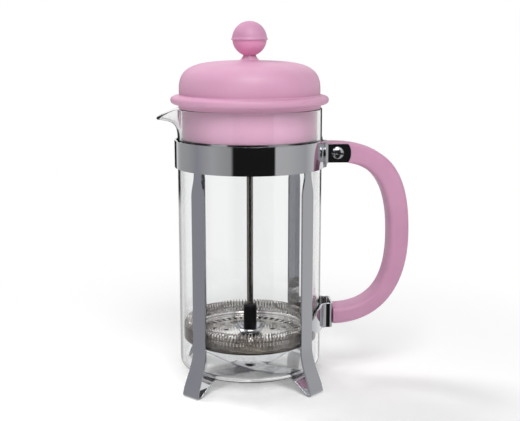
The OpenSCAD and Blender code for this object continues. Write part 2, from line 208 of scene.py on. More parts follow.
class Bench:
    """Blender's modelling tools, driven in millimetres."""

    @staticmethod
    def clear() -> None:
        """Deselects every object, so that a tool acts only on what is picked next."""
        bpy.ops.object.select_all(action="DESELECT")

    @staticmethod
    def pick(piece: Object) -> None:
        """Makes one piece the selected and active one."""
        Bench.clear()
        piece.select_set(True)
        bpy.context.view_layer.objects.active = piece

    @staticmethod
    def pull(across: Point) -> None:
        """In edit mode, extrudes what is selected and turns every face outwards."""
        move = {"value": tuple(v * MM for v in across)}
        bpy.ops.mesh.extrude_region_move(TRANSFORM_OT_translate=move)
        Bench.face_outwards()

    @staticmethod
    def face_outwards() -> None:
        """In edit mode, turns every face outwards."""
        bpy.ops.mesh.select_all(action="SELECT")
        bpy.ops.mesh.normals_make_consistent(inside=False)

    @staticmethod
    def draw(name: str, paths: list[list[Point]], closed: bool = False, wire_r: float = 0.0,
             sides: int = 4) -> Object:
        """Draws lines with the curve tool and makes them a mesh.

        Args:
            name: name of the new piece.
            paths: one list of points for each line.
            closed: whether each line returns to its start.
            wire_r: radius of round wire laid along the lines, or 0 for bare edges.
            sides: sides of that wire.

        Returns:
            The new piece.
        """
        Bench.clear()
        bpy.ops.curve.primitive_bezier_curve_add()
        piece = bpy.context.object
        piece.name = name
        curve = piece.data
        curve.dimensions = "3D"
        curve.splines.clear()
        for points in paths:
            spline = curve.splines.new("POLY")
            spline.points.add(len(points) - 1)
            spline.points.foreach_set("co", [c for p in points for c in (*(v * MM for v in p), 1)])
            spline.use_cyclic_u = closed
        if wire_r:
            curve.bevel_depth = wire_r * MM
            curve.bevel_resolution = sides // 2 - 2
            curve.use_fill_caps = not closed
        bpy.ops.object.convert(target="MESH")
        piece = bpy.context.object
        piece.data.name = name
        return piece

    @staticmethod
    def lathe(name: str, outline: list[Pair], steps: int = 128, closed: bool = True) -> Object:
        """Turns an outline of radius and height once round the upright axis.

        Args:
            name: name of the new piece.
            outline: points of radius and height.
            steps: facets round the axis.
            closed: whether the outline returns to its start, as it does round a solid wall.

        Returns:
            The new piece.
        """
        piece = Bench.draw(name, [[(r, 0.0, z) for r, z in outline]], closed)
        with editing(piece):
            bpy.ops.mesh.spin(steps=steps, angle=math.tau, center=(0, 0, 0), axis=(0, 0, 1))
            bpy.ops.mesh.select_all(action="SELECT")
            bpy.ops.mesh.remove_doubles(threshold=WELD * MM)
            Bench.face_outwards()
        return piece

    @staticmethod
    def ribbon(name: str, path: list[Point], across: Point) -> Object:
        """Pulls a line sideways into a ribbon, two vertices wide.

        Args:
            name: name of the new piece.
            path: points of the line.
            across: how far it is pulled.

        Returns:
            The new piece.
        """
        piece = Bench.draw(name, [path])
        with editing(piece):
            Bench.pull(across)
        return piece

    @staticmethod
    def slab(name: str, outline: list[Point], across: Point) -> Object:
        """Fills a closed outline and pulls it into a solid.

        Args:
            name: name of the new piece.
            outline: points of the closed outline, all in one plane.
            across: how far the face is pulled.

        Returns:
            The new piece.
        """
        piece = Bench.draw(name, [outline], closed=True)
        with editing(piece):
            bpy.ops.mesh.edge_face_add()
            Bench.pull(across)
        return piece

    @staticmethod
    def loft(name: str, rings: list[list[Point]]) -> Object:
        """Extrudes a disc through a row of rings, each with as many points as the first.

        Args:
            name: name of the new piece.
            rings: points of each ring, in order round it.

        Returns:
            The new piece, closed at both ends.
        """
        Bench.clear()
        count = len(rings[0])
        bpy.ops.mesh.primitive_circle_add(vertices=count, radius=MM, fill_type="NGON")
        piece = bpy.context.object
        piece.name = piece.data.name = name
        with editing(piece) as mesh:
            place = mesh.verts.layers.int.new("place")
            for i, vertex in enumerate(mesh.verts):
                vertex[place] = i
                vertex.co = Vector(rings[0][i]) * MM
            for ring in rings[1:]:
                bmesh.update_edit_mesh(piece.data)
                bpy.ops.mesh.extrude_region()
                mesh = bmesh.from_edit_mesh(piece.data)
                place = mesh.verts.layers.int["place"]
                for vertex in (v for v in mesh.verts if v.select):
                    vertex.co = Vector(ring[vertex[place]]) * MM
            mesh.verts.layers.int.remove(place)
            bmesh.update_edit_mesh(piece.data)
            Bench.face_outwards()
        return piece

    @staticmethod
    def reshape(piece: Object, move: Callable[[Vector], Vector]) -> Object:
        """Moves every vertex to where a rule says.

        Args:
            piece: the piece to change.
            move: the rule, from a place to its new place, in millimetres.

        Returns:
            The piece.
        """
        with editing(piece) as mesh:
            for vertex in mesh.verts:
                vertex.co = move(vertex.co / MM) * MM
        return piece

    @staticmethod
    def turn(piece: Object, degrees: float, axis: str) -> Object:
        """Turns a piece's mesh about an axis of the frame."""
        piece.data.transform(Matrix.Rotation(math.radians(degrees), 4, axis))
        return piece

    @staticmethod
    def shift(piece: Object, by: Point) -> Object:
        """Moves a piece's mesh."""
        piece.data.transform(Matrix.Translation(Vector(by) * MM))
        return piece

    @staticmethod
    def apply(piece: Object, kind: str, **settings: object) -> Object:
        """Adds a modifier to a piece and applies it.

        Args:
            piece: the piece to change.
            kind: type of modifier.
            settings: the modifier's settings, with lengths in metres.

        Returns:
            The piece.
        """
        Bench.pick(piece)
        modifier = piece.modifiers.new(kind.lower(), kind)
        for key, value in settings.items():
            setattr(modifier, key, value)
        bpy.ops.object.modifier_apply(modifier=modifier.name)
        return piece

    @staticmethod
    def thicken(piece: Object, wall: float, side: float = 0.0) -> Object:
        """Gives a sheet a thickness, centred on it or on one side of it (-1 inside, 1 outside)."""
        return Bench.apply(piece, "SOLIDIFY", thickness=wall * MM, offset=side,
                           use_even_offset=True)

    @staticmethod
    def bevel(piece: Object, width: float, segments: int = 2, angle: float = 35.0) -> Object:
        """Rounds the edges that are sharper than an angle."""
        return Bench.apply(piece, "BEVEL", width=width * MM, segments=segments,
                           limit_method="ANGLE", angle_limit=math.radians(angle),
                           use_clamp_overlap=True)

    @staticmethod
    def cut(piece: Object, *cutters: Object, keep: bool = False) -> Object:
        """Cuts other solids out of a piece, and removes them.

        Args:
            piece: the piece to cut.
            cutters: the solids.
            keep: whether what they share with the piece is kept, and the rest goes.

        Returns:
            The piece.
        """
        for cutter in cutters:
            Bench.apply(piece, "BOOLEAN", operation="INTERSECT" if keep else "DIFFERENCE",
                        object=cutter, solver="EXACT")
            bpy.data.objects.remove(cutter)
        return piece

    @staticmethod
    def join(pieces: list[Object]) -> Object:
        """Joins pieces into one.

        Args:
            pieces: the pieces to join.

        Returns:
            The first of them, which now holds them all.
        """
        Bench.clear()
        for piece in pieces:
            piece.select_set(True)
        bpy.context.view_layer.objects.active = pieces[0]
        bpy.ops.object.join()
        return pieces[0]

    @staticmethod
    def smooth(piece: Object, angle: float = 30.0, level_faces: bool = False) -> Object:
        """Shades a piece smooth up to an angle.

        Args:
            piece: the piece to shade.
            angle: edges sharper than this stay crisp, in degrees.
            level_faces: whether broad faces keep their own normals, so that only the rounded edges
                between them shade round.

        Returns:
            The piece.
        """
        Bench.pick(piece)
        bpy.ops.object.shade_smooth_by_angle(angle=math.radians(angle))
        if level_faces:
            Bench.apply(piece, "WEIGHTED_NORMAL", keep_sharp=True, weight=80)
        return piece

    @staticmethod
    def pierce(piece: Object, unwanted: Callable[[Vector], bool]) -> Object:
        """Removes faces of a sheet.

        Args:
            piece: the sheet.
            unwanted: the rule that picks a face out by its middle, in millimetres.

        Returns:
            The piece.
        """
        with editing(piece, "DESELECT") as mesh:
            bpy.ops.mesh.select_mode(type="FACE")
            for face in mesh.faces:
                face.select_set(unwanted(face.calc_center_median() / MM))
            bpy.ops.mesh.delete(type="FACE")
        return piece

    @staticmethod
    def round_holes(piece: Object, centres: list[Pair], radius: float) -> Object:
        """Opens round holes in a level sheet, each with its rim drawn onto a true circle.

        Args:
            piece: the sheet.
            centres: the holes' centres, seen from above.
            radius: the holes' radius.

        Returns:
            The piece.
        """
        def nearest(place: Vector) -> Vector:
            """The hole's centre nearest to a place, at the height of that place."""
            spots = (Vector((x, y, place.z)) for x, y in centres)
            return min(spots, key=lambda spot: (spot - place).length_squared)

        Bench.pierce(piece, lambda p: (nearest(p) - p).length < radius * 0.98)
        with editing(piece, "DESELECT") as mesh:
            for vertex in (v for v in mesh.verts if v.is_boundary):
                place = vertex.co / MM
                centre = nearest(place)
                if (place - centre).length < radius * 1.35:
                    vertex.co = (centre + (place - centre).normalized() * radius) * MM
        return piece


# ---------------------------------------------------------------------------------------------
# Shader graphs
# ---------------------------------------------------------------------------------------------


class Signal:
    """A number on its way through a shader, which Python's operators can work on."""

    def __init__(self, graph: "Graph", socket: bpy.types.NodeSocket) -> None:
        """Wraps a node's output socket."""
        self.graph = graph
        self.socket = socket

    def _with(self, operation: str, other: "Signal | float", flipped: bool = False) -> "Signal":
        """A Math node on this signal and another value.

        Args:
            operation: the node's operation.
            other: the second value.
            flipped: whether the other value comes first.

        Returns:
            The node's result.
        """
        pair = (other, self) if flipped else (self, other)
        return self.graph.node("Math", {"operation": operation}, {0: pair[0], 1: pair[1]})

    def __add__(self, other: "Signal | float") -> "Signal":
        """self + other."""
        return self._with("ADD", other)

    def __rsub__(self, other: "Signal | float") -> "Signal":
        """other - self."""
        return self._with("SUBTRACT", other, flipped=True)

    def __mul__(self, other: "Signal | float") -> "Signal":
        """self times other."""
        return self._with("MULTIPLY", other)

    __rmul__ = __mul__

    def __truediv__(self, other: "Signal | float") -> "Signal":
        """self divided by other."""
        return self._with("DIVIDE", other)

    def step(self, low: float, high: float) -> "Signal":
        """Smooth step from 0 at low to 1 at high."""
        settings = {"interpolation_type": "SMOOTHSTEP"}
        return self.graph.node("MapRange", settings, {"Value": self, "From Min": low,
                                                      "From Max": high})


class Graph:
    """The node tree of a material or a world."""

    def __init__(self, tree: bpy.types.NodeTree) -> None:
        """Takes an empty node tree."""
        self.tree = tree
        self.tree.nodes.clear()

    def make(self, kind: str, settings: dict | None = None,
             inputs: dict | None = None) -> bpy.types.Node:
        """Adds a shader node.

        Args:
            kind: the node's type, without its ShaderNode prefix.
            settings: its properties, which are set first.
            inputs: values or links of its sockets, by name or number.

        Returns:
            The new node.
        """
        made = self.tree.nodes.new("ShaderNode" + kind)
        for key, value in (settings or {}).items():
            if key == "stops":
                Graph._fill_ramp(made.color_ramp, value)
            else:
                setattr(made, key, value)
        for key, value in (inputs or {}).items():
            value = value.socket if isinstance(value, Signal) else value
            if isinstance(value, bpy.types.NodeSocket):
                self.tree.links.new(value, made.inputs[key])
            else:
                made.inputs[key].default_value = value
        return made

    def node(self, kind: str, settings: dict | None = None, inputs: dict | None = None,
             output: int | str = 0) -> Signal:
        """Adds a shader node, as make does, and wraps one of its outputs."""
        return Signal(self, self.make(kind, settings, inputs).outputs[output])

    @staticmethod
    def _fill_ramp(ramp: bpy.types.ColorRamp, stops: list[tuple]) -> None:
        """Gives a colour ramp its stops.

        Args:
            ramp: the ramp to fill.
            stops: a place and a colour for each stop.
        """
        while len(ramp.elements) > 1:
            ramp.elements.remove(ramp.elements[-1])
        for i, (place, colour) in enumerate(stops):
            element = ramp.elements[0] if i == 0 else ramp.elements.new(place)
            element.position = place
            element.color = (*colour, 1)

    def place(self) -> bpy.types.NodeSocket:
        """Coordinates fixed to the piece."""
        return self.make("TexCoord").outputs["Object"]

    def noise(self, scale: float, detail: float = 2.0, vector: object = None) -> Signal:
        """Soft noise over the piece, from 0 to 1.

        Args:
            scale: its frequency, per metre.
            detail: how many finer layers it has.
            vector: its coordinates, or None for the piece's own.

        Returns:
            The noise.
        """
        return self.node("TexNoise", {}, {"Vector": vector or self.place(), "Scale": scale,
                                          "Detail": detail})

    def split(self, vector: bpy.types.NodeSocket) -> list[Signal]:
        """The three coordinates of a vector."""
        parts = self.make("SeparateXYZ", {}, {0: vector}).outputs
        return [Signal(self, parts[i]) for i in range(3)]

    def bounced(self, kind: str) -> Signal:
        """1 for a ray that has bounced off a surface of a kind, Glossy or Diffuse, and else 0."""
        return self.node("LightPath", output=kind + " Depth").step(0.0, 0.5)

    def blend(self, share: Signal, first: object, second: object) -> bpy.types.NodeSocket:
        """A colour between two others.

        Args:
            share: share of the second colour.
            first: a colour, or its socket.
            second: a colour, or its socket.

        Returns:
            The colour's socket.
        """
        pair = [(*colour, 1) if isinstance(colour, tuple) else colour
                for colour in (first, second)]
        mix = self.make("Mix", {"data_type": "RGBA"}, {0: share, 6: pair[0], 7: pair[1]})
        return mix.outputs[2]

    def below(self, low: float, top: float, deep: tuple,
              colour: bpy.types.NodeSocket) -> bpy.types.NodeSocket:
        """A colour that gives way to another low on the piece.

        Args:
            low: height below which only the deep colour shows, in millimetres.
            top: height above which none of it shows.
            deep: the colour low down.
            colour: the socket of the colour higher up.

        Returns:
            The colour's socket.
        """
        height = self.split(self.place())[2]
        return self.blend(height.step(low * MM, top * MM), deep, colour)

    def mix(self, share: object, first: bpy.types.NodeSocket,
            second: bpy.types.NodeSocket) -> bpy.types.NodeSocket:
        """A shader between two shaders."""
        return self.make("MixShader", {}, {0: share, 1: first, 2: second}).outputs[0]

    def bump(self, height: Signal, strength: float, distance: float) -> Signal:
        """A normal roughened by a height.

        Args:
            height: the height, from 0 to 1.
            strength: share of it that shows.
            distance: its depth, in millimetres.

        Returns:
            The normal.
        """
        return self.node("Bump", {}, {"Height": height, "Strength": strength,
                                      "Distance": distance * MM})

    def surface(self, shader: bpy.types.NodeSocket) -> None:
        """Makes a shader the material's surface."""
        self.make("OutputMaterial", {}, {"Surface": shader})


# ---------------------------------------------------------------------------------------------
# Finishes
# ---------------------------------------------------------------------------------------------

Colour = tuple[float, float, float]


@dataclass(frozen=True)
class Finish:
    """What a surface is made of. Each kind of finish paints its own shader."""

    name: str
    slot: str

    def paint(self, graph: Graph) -> bpy.types.NodeSocket:
        """Builds the shader.

        Args:
            graph: the empty graph of the new material.

        Returns:
            The shader's socket.
        """
        raise NotImplementedError

    def material(self) -> Material:
        """The material, which is made once."""
        label = self.name + "_finish"
        found = bpy.data.materials.get(label)
        if found:
            return found
        made = bpy.data.materials.new(label)
        made.use_nodes = True
        graph = Graph(made.node_tree)
        graph.surface(self.paint(graph))
        return made


@dataclass(frozen=True)
class BrightSteel(Finish):
    """Polished or drawn steel, with faint handling marks and fine lines along one axis."""

    tint: Colour = (0.62, 0.63, 0.66)
    roughness: float = 0.05
    haze: float = 0.05
    lines: float = 0.0
    stretch: Point = (1.0, 1.0, 0.05)

    def paint(self, graph: Graph) -> bpy.types.NodeSocket:
        """Mirror steel whose roughness wanders a little, with drawn lines where it has them."""
        smudge = graph.noise(45, 3).step(0.42, 0.75)
        warm = tuple(c * w for c, w in zip(self.tint, (0.96, 0.95, 0.93)))
        inputs = {
            "Base Color": graph.blend(graph.noise(22, 2), self.tint, warm),
            "Metallic": 1.0,
            "Roughness": smudge * self.haze + self.roughness,
        }
        if self.lines:
            grain = graph.make("Mapping", {}, {"Vector": graph.place(), "Scale": self.stretch})
            drawn = graph.noise(9000, 2, grain.outputs[0])
            inputs["Normal"] = graph.bump(drawn, self.lines, 0.02)
        return graph.make("BsdfPrincipled", {}, inputs).outputs[0]


@dataclass(frozen=True)
class StainedSteel(Finish):
    """Filter steel browned by coffee oils, darker and duller in patches, and, where set, painted
    darker low down as shade.
    """

    clean: Colour = (0.50, 0.48, 0.46)
    stained: Colour = (0.26, 0.22, 0.19)
    roughness: float = 0.22
    # Painted shade: below this height, 0 for none, the colour turns nearly black, standing in for
    # the shadow low in the mesh.
    painted_shade_below: float = 0.0
    painted_shade_tint: Colour = (0.05, 0.035, 0.03)

    def paint(self, graph: Graph) -> bpy.types.NodeSocket:
        """Metal stained in soft patches with a fine speckle, and, where set, painted shade that
        makes it darkest low down.
        """
        patch = (graph.noise(90, 4) * 0.75 + graph.noise(1400, 1) * 0.25).step(0.38, 0.66)
        colour = graph.blend(patch, self.clean, self.stained)
        # Painted shade: nearly black below a height, standing in for the shadow in the mesh's lower
        # corner.
        if self.painted_shade_below:
            colour = graph.below(self.painted_shade_below - 0.6, self.painted_shade_below + 0.5, self.painted_shade_tint, colour)
        return graph.make("BsdfPrincipled", {}, {
            "Base Color": colour,
            "Metallic": 1.0,
            "Roughness": patch * 0.2 + self.roughness,
            "Normal": graph.bump(graph.noise(2600, 2), 0.25, 0.02),
        }).outputs[0]


@dataclass(frozen=True)
class MouldedPlastic(Finish):
    """Injection-moulded plastic with a satin skin."""

    tint: Colour = (0.64, 0.33, 0.49)
    shade: Colour = (0.60, 0.29, 0.45)
    roughness: float = 0.4
    glow: float = 0.12
    sheen: float = 0.42
    # Painted light: below this height, 0 for none, the colour turns to a lighter tint, standing in
    # for the light that the part above shades off.
    painted_light_below: float = 0.0
    painted_light_tint: Colour = (0.72, 0.41, 0.57)

    def paint(self, graph: Graph) -> bpy.types.NodeSocket:
        """Satin plastic with a faint cloudiness and the fine grain of its mould."""
        cloud = graph.noise(35, 3)
        grain = graph.noise(5200, 2)
        colour = graph.blend(cloud.step(0.3, 0.75), self.tint, self.shade)
        # Painted light: a lighter colour below a height, standing in for light that the part above
        # shades off.
        if self.painted_light_below:
            colour = graph.below(self.painted_light_below - 1, self.painted_light_below, self.painted_light_tint, colour)
        return graph.make("BsdfPrincipled", {}, {
            "Base Color": colour,
            "Roughness": cloud * 0.08 + self.roughness,
            "Normal": graph.bump(grain, 0.12, 0.02),
            "Subsurface Weight": self.glow,
            "Subsurface Radius": (0.9, 0.5, 0.6),
            "Subsurface Scale": 1.5 * MM,
            "Specular IOR Level": self.sheen,
        }).outputs[0]


@dataclass(frozen=True)
class BlownGlass(Finish):
    """Clear heat-proof glass, very slightly uneven, which lets the lamps' light through."""

    tint: Colour = (0.975, 0.98, 0.98)
    ior: float = 1.47

    def paint(self, graph: Graph) -> bpy.types.NodeSocket:
        """Clear glass for what is seen, and a clear pane for the light that crosses it."""
        ripple = graph.noise(28, 1)
        glass = graph.make("BsdfPrincipled", {}, {
            "Base Color": (*self.tint, 1),
            "Roughness": 0.0,
            "IOR": self.ior,
            "Transmission Weight": 1.0,
            "Normal": graph.bump(ripple, 0.03, 1.0),
        })
        clear = graph.make("BsdfTransparent", {}, {"Color": (0.95, 0.95, 0.95, 1)})
        lamp_light = graph.make("LightPath").outputs["Is Shadow Ray"]
        return graph.mix(lamp_light, glass.outputs[0], clear.outputs[0])


FRAME_STEEL = BrightSteel("frame_steel", "frame_steel", roughness=0.035, haze=0.03)
HARDWARE_STEEL = BrightSteel("hardware_steel", "hardware_steel", roughness=0.1, haze=0.08)
ROD_STEEL = BrightSteel("rod_steel", "hardware_steel", tint=(0.34, 0.32, 0.30), roughness=0.14,
                        haze=0.05, lines=0.15)
BRASS = BrightSteel("turned_brass", "brass", tint=(0.72, 0.5, 0.2), roughness=0.22, haze=0.08,
                    lines=0.2)
PINK = MouldedPlastic("pink_plastic", "pink_plastic")
# Painted light: the lid gets a lighter copy of the handle's pink, standing in for the stronger
# light on the lid. Below 187 mm its collar is painted lighter still, for the light that the flange
# shades off it.
LID_PINK_PAINTED_LIGHT = MouldedPlastic("lid_plastic_painted_light", "pink_plastic", tint=(0.70, 0.38, 0.54),
                          shade=(0.67, 0.35, 0.51), painted_light_below=187.0)
# Painted light: the knob's lower shell is a lighter, deeper pink than its upper shell, standing in
# for the pink light that the lid bounces up onto it.
KNOB_PINK_PAINTED_BOUNCE = MouldedPlastic("knob_plastic", "knob_plastic", tint=(0.84, 0.37, 0.58),
                           shade=(0.80, 0.34, 0.55))
BLACK = MouldedPlastic("black_plastic", "black_plastic", tint=(0.004, 0.004, 0.005),
                       shade=(0.008, 0.008, 0.009), roughness=0.3, glow=0.0, sheen=0.25)
GLASS = BlownGlass("beaker_glass", "beaker_glass")
PLATE_STEEL = StainedSteel("filter_steel", "filter_steel", clean=(0.97, 0.96, 0.95),
                           stained=(0.78, 0.76, 0.73), roughness=0.12)
# Painted shade: the bottom plate's patches are stains, but its overall dark brown stands in for the
# shadow under the mesh.
FOOT_STEEL_PAINTED_SHADE = StainedSteel("foot_steel_painted_shade", "filter_steel", clean=(0.22, 0.20, 0.18),
                          stained=(0.10, 0.08, 0.07), roughness=0.3)
COIL_STEEL = StainedSteel("coil_steel", "coil_steel", clean=(0.62, 0.60, 0.58),
                          stained=(0.30, 0.26, 0.23), roughness=0.15)
# Painted shade: below 30.9 mm the mesh turns nearly black, standing in for the shadow at its bottom
# corner.
MESH_STEEL = StainedSteel("mesh_steel", "mesh_steel", clean=(0.27, 0.24, 0.21),
                          stained=(0.15, 0.12, 0.10), roughness=0.34, painted_shade_below=30.9)


# ---------------------------------------------------------------------------------------------
# Sub-assemblies
# ---------------------------------------------------------------------------------------------


@dataclass
class Assembly:
    """A group of pieces that are made together."""

    body: Body = field(init=False)

    def fit(self, piece: Object, node: str, finish: Finish) -> Object:
        """Finishes a piece: its material, the body that it rides on and the node it stands for.

        Args:
            piece: the finished mesh.
            node: the node of the frame that it stands for.
            finish: what it is made of.

        Returns:
            The piece.
        """
        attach(piece, self.body.value)
        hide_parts(node)
        self.dress(piece, finish)
        LOG.info("%-22s %7d faces, for %s", piece.name, len(piece.data.polygons), node)
        return piece

    @staticmethod
    def dress(piece: Object, finish: Finish) -> None:
        """Gives a piece its material.

        Args:
            piece: a new piece, or a node of the frame that is shown.
            finish: what it is made of.
        """
        piece.data.materials.clear()
        piece.data.materials.append(finish.material())


def bolt_bore() -> Object:
    """A drill on the line of the clamp bolt, through both ears and the handle."""
    nut = Extent.of("clamp_nut")
    outline = [(0, -20), (BOLT_BORE_R, -20), (BOLT_BORE_R, 20), (0, 20)]
    drill = Bench.turn(Bench.lathe("bolt_bore", outline, 32), 90, "X")
    return Bench.shift(drill, (nut.middle("x"), 0, nut.middle("z")))


@dataclass
class PressedFrame(Assembly):
    """The steel work: band, crossed straps, rivet and the bracket for the handle's foot."""

    gauge: float = 1.2
    edge: float = 0.22
    ear_y: float = 9.4
    bend_r: float = 4.8
    ear_top: float = 162.35
    ear_low: float = 150.05
    ear_end_r: float = 10.5
    leg_w: float = 11.1
    neck_w: float = 6.4
    foot_w: float = 13.4
    fold_r: float = 1.7
    foot_flat: float = 1.5
    seat_r: float = 42.0
    flat_r: float = 9.0
    ring_steps: int = 150

    def __post_init__(self) -> None:
        """Reads the sizes that the frame settles."""
        self.body = Body.FRAME
        band = Extent.of("frame_band")
        self.band_low, self.band_top = band.low.z, band.high.z
        self.ear_reach = band.high.x
        self.outer_r = band.high.y
        self.ring_r = self.outer_r - self.gauge / 2
        self.seat_z = Extent.of("beaker").low.z
        reach = self.ring_r + self.bend_r
        self.bend_y = self.ear_y + self.bend_r
        self.bend_turn = math.degrees(math.asin(self.bend_y / reach))
        self.bend_x = math.sqrt(reach**2 - self.bend_y**2)
        self.foot_reach = Extent.of("lower_cross_strap").high.y * 2**0.5 - self.foot_w / 2

    def build(self) -> None:
        """Makes every piece of the frame."""
        self.fit(self.band(), "frame_band", FRAME_STEEL)
        for node, turn in (("lower_cross_strap", 45), ("upper_cross_strap", -45)):
            self.fit(self.strap(node, turn), node, FRAME_STEEL)
        self.fit(self.rivet(), "cross_rivet", HARDWARE_STEEL)
        self.fit(self.bracket(), "lower_bracket", FRAME_STEEL)

    def bend(self, steps: int) -> list[Pair]:
        """The bend that leads from a flat cheek on +Y into the ring."""
        return arc((self.bend_x, self.bend_y), self.bend_r, 270, 180 + self.bend_turn, steps)

    def pressed(self, piece: Object) -> Object:
        """Gives a ribbon the gauge of the strip, softened edges and even shading."""
        Bench.thicken(piece, self.gauge)
        Bench.bevel(piece, self.edge, 3, 50)
        return Bench.smooth(piece, 40, level_faces=True)

    def band(self) -> Object:
        """The band round the beaker, its ends bent out into round-ended ears."""
        ring = arc((0, 0), self.ring_r, self.bend_turn + 1, 179, self.ring_steps)
        cheek = [(self.ear_reach - 0.03, self.ear_y)]
        end_centre = self.ear_reach - self.ear_end_r
        cheek += [(end_centre + self.ear_end_r * math.cos(math.radians(a)), self.ear_y)
                  for a in range(6, 40, 4)]
        cheek += [(60.0, self.ear_y), (self.bend_x + 0.4, self.ear_y)]
        half = cheek + self.bend(10) + ring
        path = half + [(x, -y) for x, y in reversed(half)]
        mid = (self.band_low + self.band_top) / 2
        piece = Bench.ribbon("steel_band", [(x, y, 0.0) for x, y in path], (0, 0, 1.0))
        ear_mid = (self.ear_low + self.ear_top) / 2
        ear_half = (self.ear_top - self.ear_low) / 2

        def spread(place: Vector) -> Vector:
            """Height of the band and of its ears."""
            side = 1 if place.z > 0.5 else -1
            off = max(0.0, place.x - end_centre)
            round_half = math.sqrt(max(0.4, self.ear_end_r**2 - off**2))
            ear = ear_mid + side * min(ear_half, round_half)
            full = mid + side * (self.band_top - self.band_low) / 2
            share = ease((place.x - 50.0) / 0.9) if abs(place.y) < 20 else 0.0
            return Vector((place.x, place.y, full + (ear - full) * share))

        Bench.reshape(piece, spread)
        Bench.thicken(piece, self.gauge)
        Bench.cut(piece, bolt_bore())
        Bench.bevel(piece, self.edge, 3, 50)
        return Bench.smooth(piece, 40, level_faces=True)

    def strap(self, node: str, turn: float) -> Object:
        """A strap: down one leg, round its foot, under the glass and up the opposite leg.

        Args:
            node: the node it stands for.
            turn: its turn about the upright axis, in degrees.

        Returns:
            The strap.
        """
        half_t = self.gauge / 2
        foot = self.foot_reach - self.fold_r
        inner_r = self.fold_r - half_t
        centre_z = self.crossing(node)
        half = straight((self.ring_r, self.band_low), (self.ring_r, 130), 14)
        half += straight((self.ring_r, 128), (self.ring_r, 34), 12)
        half += bezier((self.ring_r, 31), (self.ring_r, 19), (self.foot_reach - 2.2, 9.8),
                       (self.foot_reach - half_t, self.fold_r), 18)
        half += arc((foot, self.fold_r), inner_r, -12, -90, 7)
        half += arc((foot - self.foot_flat, self.fold_r), inner_r, -90, -120, 4)
        half += bezier((self.seat_r + 3, self.seat_z - half_t - 1.4),
                       (self.seat_r + 1, self.seat_z - half_t - 0.2),
                       (self.seat_r, self.seat_z - half_t),
                       (self.seat_r - 3, self.seat_z - half_t - 0.25), 6)
        half += bezier((self.flat_r + 4, centre_z + 0.6), (self.flat_r + 1, centre_z),
                       (self.flat_r, centre_z), (self.flat_r - 2, centre_z), 5)
        half.append((0.01, centre_z))
        path = half + [(-x, z) for x, z in reversed(half)]
        piece = Bench.ribbon(node.replace("_cross", ""), [(x, -0.5, z) for x, z in path], (0, 1, 0))
        shoulder = self.band_low - 15
        widths = [(-1, self.foot_w), (6, self.foot_w), (14, self.foot_w - 0.7), (24, 11.7),
                  (36, self.leg_w), (shoulder, self.leg_w)]

        def widen(place: Vector) -> Vector:
            """Width of the strap at each height, with rounded shoulders under the band."""
            width = level(place.z, widths)
            if place.z > shoulder:
                share = ease((place.z - shoulder) / (self.band_low - 1.5 - shoulder))
                width += (self.neck_w - width) * share
            return Vector((place.x, place.y * width, place.z))

        Bench.reshape(piece, widen)
        Bench.turn(piece, turn, "Z")
        return self.pressed(piece)

    def crossing(self, node: str) -> float:
        """Height of a strap's middle plane where the two straps cross."""
        lowest = Extent.of("cross_rivet").low.z + self.gauge
        return lowest + self.gauge * (0.5 if node.startswith("lower") else 1.5)

    def rivet(self) -> Object:
        """The rivet through the crossing, with a set head below and a domed head above."""
        box = Extent.of("cross_rivet")
        low, top, head_r = box.low.z, box.high.z, box.high.x
        outline = [(0, low), (head_r * 0.7, low), (head_r - 0.5, low + 0.25),
                   (head_r, low + 0.7), (head_r, low + self.gauge), (2.0, low + self.gauge)]
        outline += [(2.0, top - 0.9), (3.6, top - 0.9)]
        outline += bezier((3.6, top - 0.75), (3.5, top - 0.25), (2.2, top), (0, top), 6)
        piece = Bench.lathe("crossing_rivet", outline, 64, closed=False)
        return Bench.smooth(piece, 35)

    def bracket(self) -> Object:
        """The strip between the two legs beside the handle, with its closed loop."""
        corner_r = 2.0
        box = Extent.of("lower_bracket")
        web_x = box.high.x - self.gauge / 2
        corner = (web_x - corner_r, self.ear_y - corner_r)
        leg_edge = 45 - math.degrees(math.asin(self.leg_w / 2 / self.ring_r))
        half = straight((web_x, 0.05), (web_x, corner[1] - 0.5), 3)
        half += arc(corner, corner_r, 0, 90, 8) + self.bend(10)
        half += arc((0, 0), self.ring_r, self.bend_turn + 1, leg_edge, 30)
        path = [(x, -y) for x, y in reversed(half)] + half
        piece = Bench.ribbon("handle_bracket", [(x, y, 0.0) for x, y in path], (0, 0, 1.0))
        lows = [(22.5, box.low.z), (30, 40.2), (39, 40.8)]
        tops = [(14, box.high.z), (23, box.high.z - 0.9), (30, 47.4), (39, 47.0)]

        def spread(place: Vector) -> Vector:
            """Height of the strip, which tapers towards the legs."""
            table = tops if place.z > 0.5 else lows
            return Vector((place.x, place.y, level(abs(place.y), table)))

        Bench.reshape(piece, spread)
        return self.pressed(piece)


